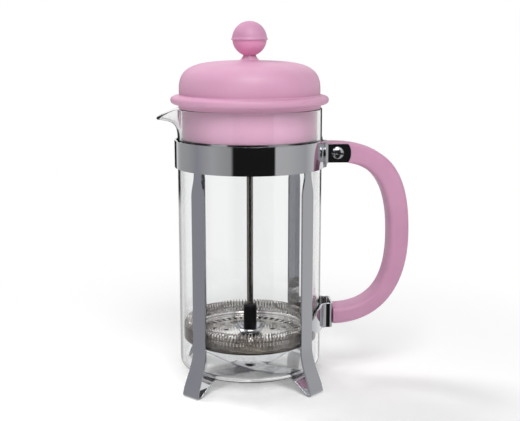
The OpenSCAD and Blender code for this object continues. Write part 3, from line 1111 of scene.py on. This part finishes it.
@dataclass
class HandleSet(Assembly):
    """The D-shaped handle with the bolt and nut that clamp it between the band's ears."""

    corner: float = 3.4
    corner_at_ears: float = 1.2
    crown: float = 0.35
    corner_steps: int = 6
    stations: int = 26
    recess: float = 1.25
    ear_gap: float = 0.12
    ear_root: float = 53.2

    def __post_init__(self) -> None:
        """Reads the sizes that the frame settles."""
        self.body = Body.FRAME
        box = Extent.of("handle")
        self.reach, self.low, self.top = box.high.x, box.low.z, box.high.z
        self.half_depth = box.high.y
        nut = Extent.of("clamp_nut")
        self.bolt_x, self.bolt_z = nut.middle("x"), nut.middle("z")
        self.ears = Extent.of("frame_band")

    def build(self) -> None:
        """Makes the handle and its fasteners."""
        self.fit(self.grip(), "handle", PINK)
        self.fit(self.bolt(), "clamp_bolt", HARDWARE_STEEL)
        self.fit(self.nut(), "clamp_nut", HARDWARE_STEEL)

    def lines(self) -> list[tuple[Pair, Pair]]:
        """Outer and inner line of the handle at each station, from the band down to the bracket."""
        web_x = Extent.of("lower_bracket").high.x + 0.3
        thick_top, thick_low, thick_grip = 12.4, 11.8, 13.4
        inner_x = self.reach - thick_grip
        inner_top, inner_low = self.top - thick_top, self.low + thick_low
        grip_z = 99.8
        outer = straight((51.6, self.top), (55, self.top), 2)
        inner = straight((51.6, inner_top), (55, inner_top), 2)
        outer += bezier((56, self.top), (96.5, self.top), (self.reach, 139.7),
                        (self.reach, grip_z), self.stations)
        inner += bezier((56, inner_top), (86.1, inner_top), (inner_x, 129.7),
                        (inner_x, grip_z - 2), self.stations)
        outer += bezier((self.reach, grip_z), (self.reach, 59.2), (86.4, self.low),
                        (web_x, self.low), self.stations)[1:]
        inner += bezier((inner_x, grip_z - 2), (inner_x, 69.2), (85.8, inner_low),
                        (web_x, inner_low), self.stations)[1:]
        return list(zip(outer, inner))

    def section(self, outer: Pair, inner: Pair) -> list[Point]:
        """Cross-section of the handle between two points of its outline.

        Args:
            outer: point on the outer line.
            inner: point on the inner line.

        Returns:
            Points round a rounded oblong with slightly crowned sides.
        """
        a, b = Vector((outer[0], 0, outer[1])), Vector((inner[0], 0, inner[1]))
        middle, across = (a + b) / 2, (a - b).normalized()
        half = (a - b).length / 2
        near_ear = 1 - ease((middle.x - 66.0) / 12.0) if middle.z > 120 else 0.0
        corner = self.corner + (self.corner_at_ears - self.corner) * near_ear
        points = []
        for quarter, (su, sv) in enumerate(((1, 1), (-1, 1), (-1, -1), (1, -1))):
            centre = (su * (half - corner), sv * (self.half_depth - corner))
            turn = 90 * quarter
            for u, v in arc(centre, corner, turn, turn + 90, self.corner_steps):
                v -= math.copysign(self.crown * (u / half) ** 2, v) * (1 - near_ear)
                place = middle + across * u
                points.append((place.x, v, place.z))
        return points

    def grip(self) -> Object:
        """The handle, recessed for the ears and bored for the bolt, without its hidden peg."""
        rings = [self.section(outer, inner) for outer, inner in self.lines()]
        piece = Bench.loft("handle_grip", rings)
        Bench.bevel(piece, 0.7, 3, 60)
        cutters = [self.ear_cutter(side) for side in (-1, 1)]
        Bench.cut(piece, *cutters, bolt_bore())
        return Bench.smooth(piece, 32)

    def ear_cutter(self, side: int) -> Object:
        """The space that an ear takes in one side of the handle."""
        low, top, end_r = PressedFrame.ear_low, PressedFrame.ear_top, PressedFrame.ear_end_r
        gap, root = self.ear_gap, self.ear_root
        centre = (self.ears.high.x - end_r, (low + top) / 2)
        rise = math.degrees(math.asin((top - low) / 2 / end_r))
        outline = [(40, low - 3), (root, low - 3), (root, low - gap)]
        outline += arc(centre, end_r + gap, -rise, rise, 12)
        outline += [(root, top + gap), (root, top + 3), (40, top + 3)]
        start = side * (self.half_depth - self.recess)
        points = [(x, start, z) for x, z in outline]
        return Bench.slab("ear_space", points, (0, side * 4.0, 0))

    def bolt(self) -> Object:
        """The bolt: a domed head with a screwdriver slot, its shank and a chamfered end."""
        box = Extent.of("clamp_bolt")
        head_r = (box.high.z - box.low.z) / 2
        top = -self.half_depth - box.low.y
        end = -(box.high.y + self.half_depth)
        outline = [(0, end), (1.5, end), (2.0, end + 0.5), (2.0, 0), (head_r - 0.2, 0)]
        outline += bezier((head_r, 0.15), (head_r, top * 0.6), (head_r * 0.62, top), (0, top), 12)
        piece = Bench.lathe("clamp_screw", outline, 64, closed=False)
        slot = Bench.slab("slot", [(-9, -0.7, top - 1.25), (9, -0.7, top - 1.25),
                                   (9, 0.7, top - 1.25), (-9, 0.7, top - 1.25)], (0, 0, 3))
        Bench.cut(piece, slot)
        Bench.bevel(piece, 0.08, 2, 40)
        Bench.turn(piece, 90, "X")
        Bench.turn(piece, 8, "Y")
        Bench.shift(piece, (self.bolt_x, -self.half_depth, self.bolt_z))
        return Bench.smooth(piece, 30)

    def nut(self) -> Object:
        """The hexagonal nut, its corners turned down on both faces and its thread a plain bore."""
        box = Extent.of("clamp_nut")
        tall = box.high.y - box.low.y
        corner_r = (box.high.x - box.low.x) / 2
        flat_r = corner_r * math.cos(math.radians(30))
        prism = Bench.slab("clamp_nut_hex", [(x, y, 0.0) for x, y in
                                             arc((0, 0), corner_r, 0, 300, 5)], (0, 0, tall))
        barrel = [(0, 0), (flat_r, 0), (corner_r + 0.1, 0.55), (corner_r + 0.1, tall - 0.55),
                  (flat_r, tall), (0, tall)]
        bore = [(0, -1), (BOLT_BORE_R, -1), (BOLT_BORE_R, 5), (0, 5)]
        Bench.cut(prism, Bench.lathe("nut_barrel", barrel, 96, closed=False), keep=True)
        Bench.cut(prism, Bench.lathe("nut_bore", bore, 48))
        Bench.turn(prism, -90, "X")
        Bench.shift(prism, (self.bolt_x, box.low.y, self.bolt_z))
        return Bench.smooth(prism, 25)


@dataclass
class Beaker(Assembly):
    """The glass, drawn out into a pouring spout on the side away from the handle."""

    wall: float = 2.1
    heel_r: float = 6.0
    spout_root: float = 167.0
    spout_half_turn: float = 17.0
    steps: int = 320
    spout_rows: int = 26

    def __post_init__(self) -> None:
        """Reads the sizes that the frame settles."""
        self.body = Body.BEAKER
        box = Extent.of("beaker")
        self.radius, self.low, self.top = box.high.y, box.low.z, box.high.z
        self.spout_reach = -box.low.x - 0.1

    def build(self) -> None:
        """Makes the glass."""
        outline = straight((0.0, self.low), (self.radius - self.heel_r - 1, self.low), 8)
        outline += arc((self.radius - self.heel_r, self.low + self.heel_r), self.heel_r, -90, 0, 12)
        outline += straight((self.radius, self.low + self.heel_r + 4),
                            (self.radius, self.spout_root - 1), 14)
        outline += straight((self.radius, self.spout_root), (self.radius, self.top - 0.02),
                            self.spout_rows)
        piece = Bench.lathe("glass_beaker", outline, self.steps, closed=False)
        Bench.reshape(piece, self.draw_spout)
        Bench.thicken(piece, self.wall, -1.0)
        Bench.bevel(piece, self.wall * 0.45, 4, 50)
        self.fit(Bench.smooth(piece, 50), "beaker", GLASS)

    def draw_spout(self, place: Vector) -> Vector:
        """Pulls the rim out into the spout: a curve out to its tip, which fades to either side.

        Args:
            place: a vertex of the upright wall, in millimetres.

        Returns:
            Its new place.
        """
        off_axis = math.degrees(math.atan2(place.y, -place.x))
        if place.z < self.spout_root or abs(off_axis) > self.spout_half_turn:
            return place
        share = math.cos(math.pi / 2 * off_axis / self.spout_half_turn) ** 2
        rise = (place.z - self.spout_root) / (self.top - self.spout_root)
        tip = (self.spout_reach, self.top - 7.6)
        keel = [(self.radius, self.spout_root), (self.radius + 0.2, self.top - 10.5),
                (self.radius + 2.2, self.top - 8.6), tip]
        out, up = on_curve(keel, rise)
        radius = self.radius + (out - self.radius) * share
        height = place.z + (up - place.z) * share**1.35
        flat = Vector((place.x, place.y, 0)).normalized() * radius
        return Vector((flat.x, flat.y, height))


@dataclass
class Lid(Assembly):
    """The domed lid: neck, dome, upright side, rounded flange and the collar in the glass."""

    wall: float = 2.0
    side_r: float = 46.7
    collar_r: float = 44.8
    seat_r: float = 47.1
    bore_r: float = 2.2

    def __post_init__(self) -> None:
        """Reads the sizes that the frame settles."""
        self.body = Body.LID
        box = Extent.of("lid")
        self.low, self.top = box.low.z, box.high.z
        self.flange_r = box.high.x - 0.3
        self.rim = Extent.of("beaker").high.z

    def build(self) -> None:
        """Turns the lid from its outline."""
        top, side, flange, rim = self.top, self.side_r, self.flange_r, self.rim
        outline = [(self.bore_r, top - 0.3), (self.bore_r + 0.3, top), (3.9, top)]
        outline += bezier((4.25, top - 0.15), (4.7, top - 1.0), (5.6, top - 2.4),
                          (6.3, top - 2.75), 5)
        outline += bezier((7.2, top - 3.2), (18, top - 3.4), (32, top - 3.6), (39.2, 212.5), 14)
        outline += bezier((39.8, 212.2), (44.9, 209.2), (side, 204.6), (side, 198.6), 16)
        outline += bezier((side, 196.2), (side - 0.05, 195.4), (side - 0.5, 194.7),
                          (side + 0.4, 194.45), 5)
        outline += bezier((side + 1.0, 194.4), (flange - 1.6, 194.2), (flange, 193.3),
                          (flange, 191.7), 10)
        outline += bezier((flange, 191.3), (flange, 189.7), (51.2, 188.9), (49.2, 188.6), 10)
        outline += [(47.4, 188.4), (self.seat_r, 188.0), (self.seat_r, rim + 0.02),
                    (self.collar_r + 0.2, rim + 0.02), (self.collar_r, rim - 0.3)]
        outline += [(self.collar_r, rim - 10), (self.collar_r, self.low + 0.5)]
        outline += arc((self.collar_r - 0.5, self.low + 0.5), 0.5, 0, -90, 3)[1:]
        inside = self.collar_r - self.wall
        outline += arc((inside + 0.5, self.low + 0.5), 0.5, -90, -180, 3)
        outline += bezier((inside, 200), (inside, 206), (38, 213), (26, 213.4), 10)
        outline += [(5.2, 214.2), (self.bore_r, 214.2)]
        piece = Bench.lathe("domed_lid", outline, 256)
        self.fit(Bench.smooth(piece, 38), "lid", LID_PINK_PAINTED_LIGHT)


@dataclass
class PlungerTop(Assembly):
    """The ball knob in two shells, the insert between them and the rod."""

    ball_r: float = 11.4
    shell: float = 2.0
    rod_r: float = 2.15

    def __post_init__(self) -> None:
        """Reads the sizes that the frame settles."""
        self.body = Body.PLUNGER
        upper = Extent.of("knob_upper_shell")
        self.split, self.crown = upper.low.z, upper.high.z
        self.lip_r = upper.high.x
        self.foot = Extent.of("knob_lower_shell").low.z
        self.centre = self.crown - self.ball_r

    def build(self) -> None:
        """Makes the knob and the rod, and dresses the insert inside the knob."""
        self.fit(self.upper_shell(), "knob_upper_shell", PINK)
        self.fit(self.lower_shell(), "knob_lower_shell", KNOB_PINK_PAINTED_BOUNCE)
        self.fit(self.rod(), "plunger_rod", ROD_STEEL)
        self.dress(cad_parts["knob_insert"], BRASS)

    def upper_shell(self) -> Object:
        """Upper half of the ball, with the thin flange that the seam leaves."""
        middle = (0.0, self.centre)
        lip, seam = self.lip_r, self.split
        outline = [(0.0, self.crown - self.shell)]
        outline += arc(middle, self.ball_r - self.shell, 88, 0, 16)
        outline += [(self.ball_r - self.shell, seam), (lip - 0.15, seam), (lip, seam + 0.12),
                    (lip - 0.05, seam + 0.35)]
        outline += bezier((lip - 0.3, seam + 0.6), (11.8, seam + 1.0), (11.5, seam + 1.3),
                          (11.32, seam + 2.0), 5)
        outline += arc(middle, self.ball_r, 8, 90, 30)
        return Bench.smooth(Bench.lathe("knob_cap", outline, 128, closed=False), 35)

    def lower_shell(self) -> Object:
        """Lower half of the ball, with the boss that holds the insert."""
        ball = self.ball_r - 0.1
        insert = Extent.of("knob_insert")
        insert_r, boss_r = insert.high.x, insert.high.x + 1.6
        foot_turn = -math.degrees(math.acos(4.4 / ball))
        seam_turn = -math.degrees(math.asin((self.centre - self.split) / ball))
        outline = [(self.rod_r, self.foot), (4.2, self.foot), (4.4, self.foot + 0.2)]
        outline += [p for p in arc((0, self.centre), ball, foot_turn, seam_turn, 30)
                    if p[1] > self.foot + 0.3]
        outline += [(self.ball_r - self.shell, self.split)]
        outline += arc((0, self.centre), self.ball_r - self.shell, -9, -56, 12)
        outline += [(boss_r, self.split - 3), (boss_r, insert.high.z), (insert_r, insert.high.z),
                    (insert_r, insert.low.z), (self.rod_r, insert.low.z)]
        return Bench.smooth(Bench.lathe("knob_cup", outline, 128), 35)

    def rod(self) -> Object:
        """The rod, chamfered at both ends, with rings that stand for the thread at its foot."""
        box = Extent.of("plunger_rod")
        low, top, r = box.low.z, box.high.z, self.rod_r
        outline = [(0, low), (r - 0.4, low)]
        for i in range(9):
            root = low + 0.45 + 0.5 * i
            outline += [(r, root), (r - 0.18, root + 0.25)]
        outline += [(r, low + 5.4)] + straight((r, low + 6), (r, top - 0.4), 12)
        outline += [(r - 0.4, top), (0, top)]
        return Bench.smooth(Bench.lathe("plunger_shaft", outline, 64, closed=False), 40)


@dataclass
class Filter(Assembly):
    """The filter stack on the rod: socket, washer, pierced plate, coil and woven mesh."""

    rod_r: float = 2.15
    plate_t: float = 0.8
    wall_r: float = 42.0
    slots: int = 48
    slot_w: float = 2.3
    slot_ring: Pair = (32.4, 37.6)
    arcs: int = 16
    arc_ring: Pair = (25.7, 27.3)
    wall_holes: Pair = (1.15, 3.4)
    coil_turns: int = 120
    coil_wire: float = 0.4
    coil_r: float = 2.65
    coil_rise: float = 0.9
    weave: float = 0.92
    mesh_wire: float = 0.16
    crimp: float = 0.6

    def __post_init__(self) -> None:
        """Reads the sizes that the frame settles."""
        self.body = Body.PLUNGER
        plate = Extent.of("spiral_plate")
        self.plate_low, self.wall_top = plate.low.z, plate.high.z
        coil = Extent.of("coil_spring")
        self.coil_z = coil.middle("z") + self.coil_rise
        mesh = Extent.of("filter_mesh")
        self.mesh_low, self.mesh_top, self.mesh_r = mesh.low.z, mesh.high.z, mesh.high.x

    def build(self) -> None:
        """Makes the stack, from the socket down to the mesh."""
        self.fit(self.socket(), "rod_socket", BLACK)
        self.fit(self.washer(), "socket_washer", HARDWARE_STEEL)
        self.fit(self.spiral_plate(), "spiral_plate", PLATE_STEEL)
        self.fit(self.coil(), "coil_spring", COIL_STEEL)
        self.fit(self.mesh(), "filter_mesh", MESH_STEEL)

    def socket(self) -> Object:
        """The black sleeve that grips the foot of the rod."""
        box = Extent.of("rod_socket")
        low, top, r = box.low.z, box.high.z, box.high.x
        outline = [(self.rod_r, low), (r - 0.3, low), (r, low + 0.3), (r, top - 3.2)]
        outline += bezier((r, top - 2.8), (r, top - 0.9), (r - 0.4, top), (r - 1.4, top), 8)
        outline += [(self.rod_r + 0.3, top), (self.rod_r, top - 0.3)]
        return Bench.smooth(Bench.lathe("rod_sleeve", outline, 64), 35)

    def washer(self) -> Object:
        """The dished washer that the sleeve stands in."""
        box = Extent.of("socket_washer")
        low, top, r = box.low.z, box.high.z, box.high.x
        sheet = [(self.rod_r + 0.05, low + 0.4), (5.6, low + 0.4)]
        sheet += bezier((6.0, low + 0.45), (7.4, low + 1.2), (r - 1.8, low + 2.5),
                        (r - 0.4, top - 0.35), 10)
        piece = Bench.lathe("dished_washer", sheet, 96, closed=False)
        Bench.thicken(piece, 0.6)
        Bench.bevel(piece, 0.12, 2, 40)
        return Bench.smooth(piece, 35)

    def spiral_plate(self) -> Object:
        """The top plate: rings of slots and holes, a beaded wall and holes for the coil."""
        mid = self.plate_low + self.plate_t / 2
        bead_z, bead_depth = self.plate_low + 3.2, 0.75
        hole_low, hole_top = (bead_z + rise for rise in self.wall_holes)
        radii = [2.4, 6, 11, 14.6, 15.7, 16.3, 16.9, 17.5, 18.1, 18.7, 19.3, 20.4, 23,
                 *self.arc_ring, 30, *self.slot_ring, 39.4]
        path = [(r, mid) for r in radii]
        path += arc((self.wall_r - 1.6, mid + 1.6), 1.6, -75, 0, 5)
        path += [(self.wall_r, bead_z - 0.7), (self.wall_r - bead_depth * 0.8, bead_z - 0.3),
                 (self.wall_r - bead_depth, bead_z), (self.wall_r - bead_depth * 0.8, bead_z + 0.3),
                 (self.wall_r, bead_z + 0.7), (self.wall_r, hole_low),
                 (self.wall_r, hole_top), (self.wall_r, self.wall_top)]
        piece = Bench.lathe("pierced_plate", path, 960, closed=False)
        slot_r = sum(self.slot_ring) / 2

        def pierced(p: Vector) -> bool:
            """Whether a face lies in a slot of the plate or a hole of the wall."""
            radius, turn = math.hypot(p.x, p.y), math.degrees(math.atan2(p.y, p.x)) % 360
            if self.slot_ring[0] < radius < self.slot_ring[1] and p.z < mid + 0.1:
                return off_beat(turn, 360 / self.slots) * math.radians(slot_r) < self.slot_w / 2
            if self.arc_ring[0] < radius < self.arc_ring[1]:
                return off_beat(turn, 360 / self.arcs) < 5.2
            if hole_low < p.z < hole_top:
                return off_beat(turn, 360 / self.coil_turns) < 0.8
            return False

        Bench.pierce(piece, pierced)
        Bench.round_holes(piece, arc((0, 0), 17.5, 22.5, 337.5, 7), 1.8)
        Bench.thicken(piece, self.plate_t)
        return Bench.smooth(piece, 35)

    def coil(self) -> Object:
        """The wire wound round the wall, once through each of its holes."""
        per_turn = 14
        points = []
        for i in range(self.coil_turns * per_turn):
            round_axis = math.tau * i / (self.coil_turns * per_turn)
            round_wall = math.tau * i / per_turn - math.pi / 2
            radius = self.wall_r + self.coil_r * math.cos(round_wall)
            points.append((radius * math.cos(round_axis), radius * math.sin(round_axis),
                           self.coil_z + self.coil_r * math.sin(round_wall)))
        piece = Bench.draw("wound_coil", [points], closed=True, wire_r=self.coil_wire, sides=6)
        return Bench.smooth(piece, 70)

    def mesh(self) -> Object:
        """The woven mesh: a round floor whose rim is curled up round the coil."""
        pieces = [self.weave_floor(), self.weave_rim()]
        return Bench.smooth(Bench.join(pieces), 70)

    def over(self, crossing: int) -> float:
        """How far a wire rises over the next at an even crossing, or sinks at an odd one."""
        return self.mesh_wire * self.crimp * (-1) ** crossing

    def weave_floor(self) -> Object:
        """Straight wires both ways, each over one and under the next."""
        z = self.mesh_low + 0.2
        limit = self.mesh_r - 2.2
        count = int(limit / self.weave)
        wires = []
        for i in range(-count, count + 1):
            off = i * self.weave
            reach = int(math.sqrt(limit**2 - off**2) / self.weave)
            for flip in (0, 1):
                wire = []
                for k in range(-reach, reach + 1):
                    x, y = (off, k * self.weave) if flip else (k * self.weave, off)
                    wire.append((x, y, z + self.over(i + k + flip)))
                parts = [wire] if abs(off) >= self.rod_r else self.split_at_rod(wire)
                wires.extend(part for part in parts if len(part) > 1)
        return Bench.draw("woven_mesh", wires, wire_r=self.mesh_wire, sides=4)

    def split_at_rod(self, wire: list[Point]) -> list[list[Point]]:
        """The two ends of a wire that stops short of the rod.

        Args:
            wire: points of the wire, on both sides of the rod.

        Returns:
            The points on one side, and those on the other.
        """
        clear = [p for p in wire if math.hypot(p[0], p[1]) > self.rod_r + 0.3]
        return [[p for p in clear if p[0] + p[1] < -1], [p for p in clear if p[0] + p[1] > 1]]

    def weave_rim(self) -> Object:
        """The curled rim: wires up the curl, and hoops round it, woven through each other."""
        roll = 2.3
        r = self.mesh_r - self.mesh_wire * 1.7
        profile = arc((r - roll, self.mesh_low + 0.2 + roll), roll, -90, 0, 4)
        profile += straight((r, self.mesh_low + roll + 1.0), (r, self.mesh_top - 0.2), 9)
        uprights = round(math.tau * r / self.weave / 2) * 2
        wires, hoops = [], [[] for _ in profile]
        for i in range(uprights):
            a = math.tau * i / uprights
            wire = []
            for k, (radius, z) in enumerate(profile):
                over = self.over(i + k)
                wire.append(((radius + over) * math.cos(a), (radius + over) * math.sin(a), z))
                hoop_r = radius - over
                hoops[k].append((hoop_r * math.cos(a), hoop_r * math.sin(a), z))
            wires.append(wire)
        standing = Bench.draw("rim_wires", wires, wire_r=self.mesh_wire, sides=4)
        lying = Bench.draw("rim_hoops", hoops, closed=True, wire_r=self.mesh_wire, sides=4)
        return Bench.join([standing, lying])


@dataclass
class FilterFoot(Assembly):
    """The pierced bottom plate and its hub."""

    plate_t: float = 1.0
    hole_r: float = 4.2
    rings: tuple = ((33.0, 12), (19.5, 8))

    def __post_init__(self) -> None:
        """Sets the body."""
        self.body = Body.FILTER_FOOT

    def build(self) -> None:
        """Makes the plate and the hub."""
        self.fit(self.plate(), "cross_plate", FOOT_STEEL_PAINTED_SHADE)
        self.fit(self.hub(), "hub_nut", HARDWARE_STEEL)

    def plate(self) -> Object:
        """The plate, with two rings of round holes and a turned edge."""
        box = Extent.of("cross_plate")
        top, edge_r = box.high.z, box.high.x
        radii = [5.6, 10] + [15.3 + 0.7 * i for i in range(13)] + [26.4]
        radii += [28.8 + 0.7 * i for i in range(13)] + [39.4, edge_r - 0.1]
        path = [(r, top - self.plate_t / 2) for r in radii]
        piece = Bench.lathe("bottom_plate", path, 480, closed=False)
        for ring_r, count in self.rings:
            spots = arc((0, 0), ring_r, 0, 360 - 360 / count, count - 1)
            Bench.round_holes(piece, spots, self.hole_r)
        Bench.thicken(piece, self.plate_t)
        return Bench.smooth(piece, 35)

    def hub(self) -> Object:
        """The hub, with a knurled grip and a flange swaged into the plate; its bore is plain."""
        box = Extent.of("hub_nut")
        low, top, flange_r = box.low.z, box.high.z, box.high.x
        hub_r, bore_r = 4.6, 2.2
        outline = [(bore_r, low), (hub_r - 0.5, low), (hub_r, low + 0.5), (hub_r, top - 1.2),
                   (flange_r - 0.1, top - 1.0), (flange_r, top - 0.8), (flange_r, top),
                   (bore_r, top)]
        piece = Bench.lathe("threaded_hub", outline, 96)
        piece = Bench.reshape(piece, lambda p: self.knurl(p, low, top, hub_r))
        return Bench.smooth(piece, 25)

    @staticmethod
    def knurl(p: Vector, low: float, top: float, hub_r: float) -> Vector:
        """Sinks every other line of the hub's side to make its grip.

        Args:
            p: a vertex of the hub, in millimetres.
            low: height of the hub's lower end.
            top: height of its upper end.
            hub_r: radius of its side.

        Returns:
            The vertex's new place.
        """
        radius = math.hypot(p.x, p.y)
        ridge = round(math.degrees(math.atan2(p.y, p.x)) / 3.75) % 2
        if ridge and abs(radius - hub_r) < 0.01 and low + 0.1 < p.z < top - 1.1:
            scale = (radius - 0.18) / radius
            return Vector((p.x * scale, p.y * scale, p.z))
        return p


# ---------------------------------------------------------------------------------------------
# Studio
# ---------------------------------------------------------------------------------------------


@dataclass
class Studio:
    """A pale table in a grey tent: the camera looks in through the tent's dark opening."""

    opening: Pair = (-27.6, 34.4)
    hem: Pair = (151.0, 179.0)
    tent_left: float = 0.42
    tent_right: float = 0.57
    fill: float = 0.23
    table_glow: float = 0.22
    table_white: float = 0.93
    table_fade: Pair = (0.13, 0.34)
    lens: float = 66.27
    camera_place: Point = (-0.03619, -0.63544, 0.23588)
    camera_tilt: float = 10.62
    camera_turn: float = -3.877

    def build(self) -> None:
        """Sets the camera, table, surroundings and lights."""
        self.camera()
        self.table()
        self.surroundings()
        self.lights()
        bpy.context.scene.view_settings.view_transform = "Standard"

    def camera(self) -> None:
        """A long lens a little above the lid, tilted down towards the middle of the press."""
        data = bpy.data.cameras.new("camera")
        data.lens = self.lens
        data.sensor_width = 36.0
        camera = bpy.data.objects.new("camera", data)
        camera.location = self.camera_place
        camera.rotation_euler = (math.radians(90 - self.camera_tilt), 0,
                                 math.radians(self.camera_turn))
        bpy.context.scene.collection.objects.link(camera)
        bpy.context.scene.camera = camera

    def table(self) -> None:
        """A white table top that glows faintly. Mirrors see the tent and not the table."""
        Bench.clear()
        bpy.ops.mesh.primitive_plane_add(size=6)
        floor = bpy.context.object
        floor.name = "table_top"
        material = bpy.data.materials.new("table_white")
        material.use_nodes = True
        graph = Graph(material.node_tree)
        matt = graph.make("BsdfDiffuse", {}, {"Color": (*(self.table_white,) * 3, 1)})
        lit = graph.make("Emission", {}, {"Strength": self.table_glow})
        near = graph.make("AddShader", {}, {0: matt.outputs[0], 1: lit.outputs[0]})
        far = graph.make("Emission", {}, {"Strength": 1.0})
        away = graph.node("VectorMath", {"operation": "LENGTH"}, {0: graph.place()}, "Value")
        white = graph.mix(away.step(*self.table_fade), near.outputs[0], far.outputs[0])
        unseen = graph.make("BsdfTransparent")
        graph.surface(graph.mix(graph.bounced("Glossy"), white, unseen.outputs[0]))
        floor.data.materials.append(material)

    def surroundings(self) -> None:
        """The tent: what mirrors see of it, and the even light that it casts."""
        world = bpy.data.worlds.new("tent")
        world.use_nodes = True
        world.cycles.sampling_method = "NONE"
        bpy.context.scene.world = world
        graph = Graph(world.node_tree)
        direct = graph.make("LightPath").outputs["Is Camera Ray"]
        shown = self.tent(graph, graph.bounced("Glossy"))
        for share, brightness in ((graph.bounced("Diffuse"), self.fill), (direct, 1.0)):
            even = graph.make("Background", {}, {"Color": (1, 1, 1, 1), "Strength": brightness})
            shown = graph.mix(share, shown, even.outputs[0])
        graph.make("OutputWorld", {}, {"Surface": shown})

    def tent(self, graph: Graph, mirrored: Signal) -> bpy.types.NodeSocket:
        """Grey sides, white back and top, a dark opening round the camera and a dark hem behind.

        Args:
            graph: the world's graph.
            mirrored: 1 where a mirror looks at the tent, and so sees its hem.

        Returns:
            The tent's shader.
        """
        x, y, z = graph.split(graph.make("TexCoord").outputs["Generated"])
        turn = graph.node("Math", {"operation": "ARCTAN2"}, {0: x, 1: -1 * y}) / math.pi
        dark, left, right = (0.012,) * 3, self.tent_left, self.tent_right
        opening = [0.5 + angle / 360 for angle in self.opening]
        stops = [(0.0, (1.0,) * 3), (0.085, (0.9,) * 3), (0.105, (left * 1.4,) * 3),
                 (0.13, (left * 1.1,) * 3), (0.2, (left,) * 3),
                 (0.25, (left * 0.8, left * 0.8, left * 0.88)), (0.33, (left * 1.15,) * 3),
                 (opening[0] - 0.012, (left * 0.9,) * 3), (opening[0], dark), (opening[1], dark),
                 (opening[1] + 0.004, (right * 1.05,) * 3), (0.66, (right,) * 3),
                 (0.75, (right * 0.8, right * 0.8, right * 0.83)), (0.8, (right * 1.2,) * 3),
                 (0.88, (0.95,) * 3), (1.0, (1.0,) * 3)]
        around = graph.make("ValToRGB", {"stops": stops}, {0: turn * 0.5 + 0.5})
        aside = graph.node("Math", {"operation": "ABSOLUTE"}, {0: turn})
        low = mirrored * (1.0 - z.step(0.1, 0.26))
        cloth = graph.blend(z.step(-0.185, -0.16), (0.5,) * 3, (0.03,) * 3)
        start, end = (angle / 180 for angle in self.hem)
        hem = aside.step(start, start + 0.01) * (1.0 - aside.step(end - 0.03, end)) * low
        hemmed = graph.blend(hem, around.outputs[0], cloth)
        tent = graph.blend(z.step(0.42, 0.7), hemmed, (1.0,) * 3)
        return graph.make("Background", {}, {"Color": tent}).outputs[0]

    @staticmethod
    def lights() -> None:
        """Soft lamps: one high in front, and one overhead on the left that casts the shadow."""
        for name, place, size, power in (("front_lamp", (0.03, -0.52, 0.74), 0.42, 3.9),
                                         ("top_lamp", (-0.42, 0.42, 1.0), 0.35, 4.6)):
            data = bpy.data.lights.new(name, "AREA")
            data.size = size
            data.energy = power
            lamp = bpy.data.objects.new(name, data)
            lamp.visible_glossy = name == "front_lamp"
            lamp.location = place
            aim = Vector((0, 0, 0.1)) - Vector(place)
            lamp.rotation_euler = aim.to_track_quat("-Z", "Y").to_euler()
            bpy.context.scene.collection.objects.link(lamp)


def main() -> None:
    """Builds the studio and then the press, from the frame inwards."""
    logging.basicConfig(level=logging.INFO, format="%(message)s")
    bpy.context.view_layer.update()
    Studio().build()
    for assembly in (PressedFrame, HandleSet, Beaker, Lid, PlungerTop, Filter, FilterFoot):
        LOG.info("-- %s", assembly.__name__)
        assembly().build()
    Bench.clear()


if __name__ == "__main__":
    main()
